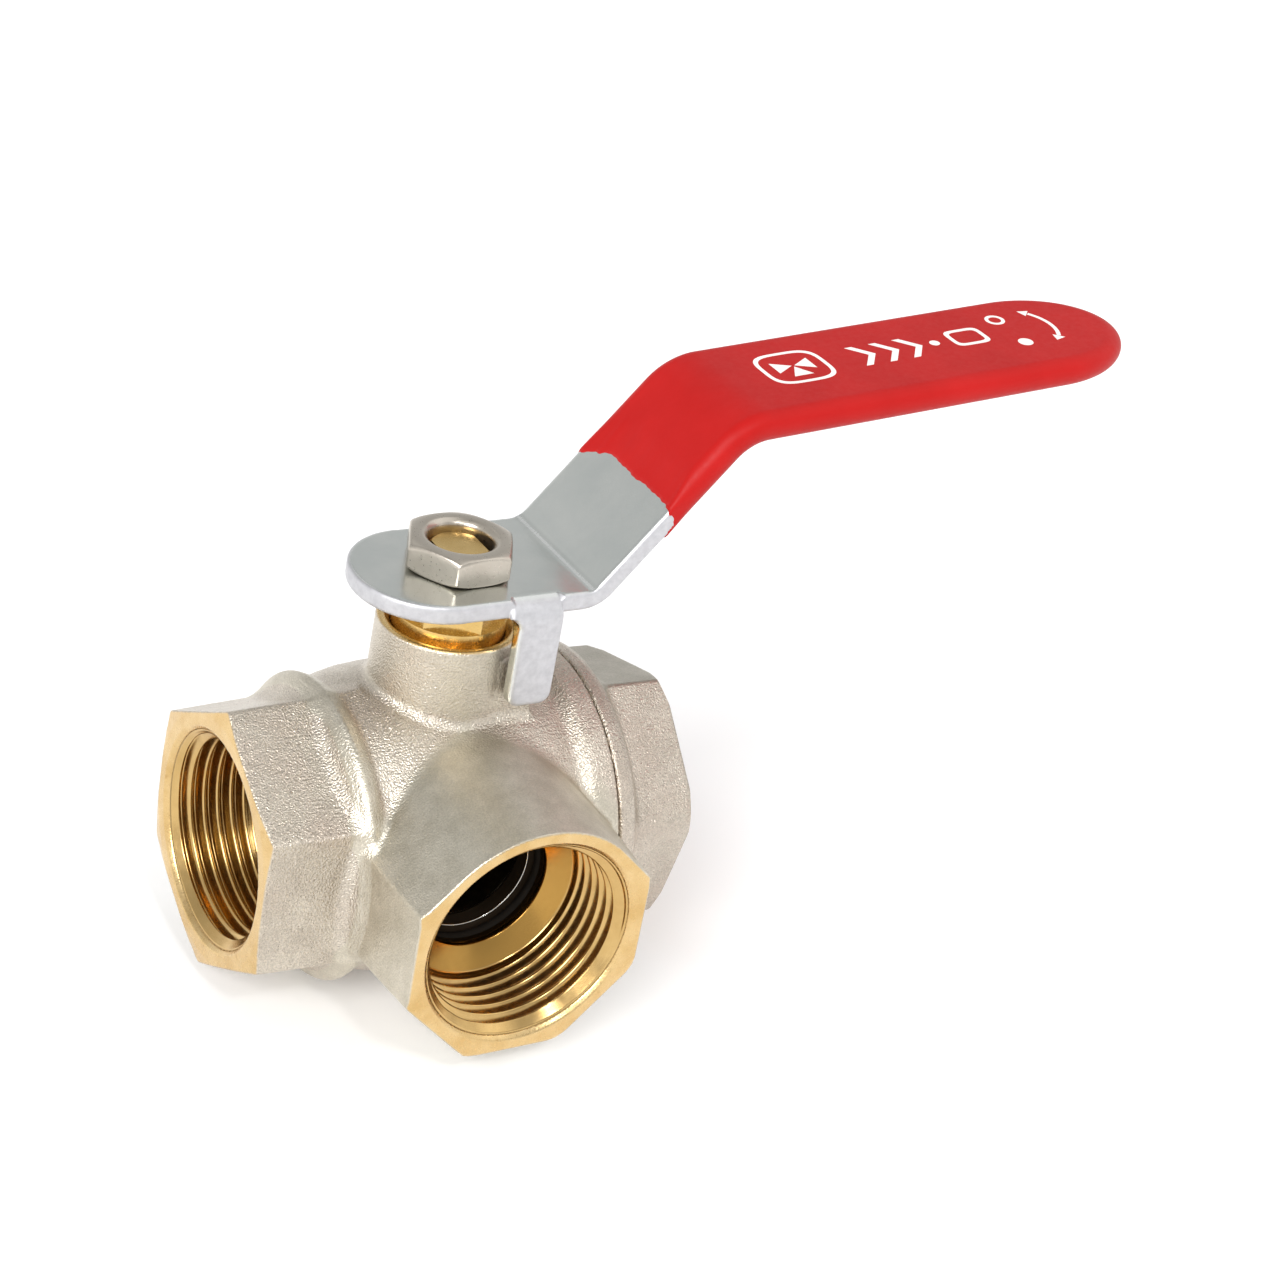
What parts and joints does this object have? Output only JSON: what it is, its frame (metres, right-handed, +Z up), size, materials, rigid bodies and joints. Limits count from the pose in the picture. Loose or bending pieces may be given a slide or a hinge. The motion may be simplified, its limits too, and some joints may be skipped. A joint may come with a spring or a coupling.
{
  "type": "three way valve",
  "caption": "Threaded brass three way ball valve with L-shaped ball passage, screwed end cap, bent steel hand lever with dipped grip and locking nut.",
  "frame": {"origin": "centre of the ball, where the axes of the three threaded ports and the stem meet", "axes": "+X out of the end cap port (the lever lies over it at rest), -X out of the body port, -Y out of the branch port, +Z up the stem"},
  "size_m": [0.1214, 0.0498, 0.0813],
  "materials": {
    "body_nickel": "shot-blasted forging, satin nickel plate, bare brass where turned",
    "cap_nickel": "shot-blasted forging, satin nickel plate, bare brass where turned",
    "ptfe_white": "smooth white PTFE",
    "ball_chrome": "polished hard chrome on brass",
    "seat_ptfe": "carbon-filled PTFE, dark grey",
    "rubber_black": "smooth moulded nitrile",
    "stem_brass": "turned brass, bare",
    "gland_brass": "turned brass, bare",
    "lever_steel": "bright zinc plate, faint lengthwise grain",
    "grip_red": "glossy dipped PVC",
    "nut_nickel": "bright nickel plate"
  },
  "bodies": {
    "valve": {"valve_body": "body_nickel", "end_cap": "cap_nickel", "cap_seal": "ptfe_white", "seat_body_side": "seat_ptfe", "seat_cap_side": "seat_ptfe", "seat_branch": "seat_ptfe", "seat_rear": "seat_ptfe", "energiser_branch": "rubber_black", "energiser_rear": "rubber_black", "thrust_washer": "ptfe_white", "packing_lower": "ptfe_white", "packing_upper": "ptfe_white", "gland_ring": "gland_brass", "gland_nut": "gland_brass"},
    "lever": {"lever_plate": "lever_steel", "grip_sleeve": "grip_red", "lever_nut": "nut_nickel", "stem": "stem_brass", "stem_o_ring": "rubber_black", "ball": "ball_chrome"}
  },
  "joints": [
    {"name": "lever_turn", "type": "hinge", "parent": "valve", "child": "lever", "pos_m": [0, 0, 0], "axis": [0, 0, 1], "range_deg": [-90, 0]}
  ]
}
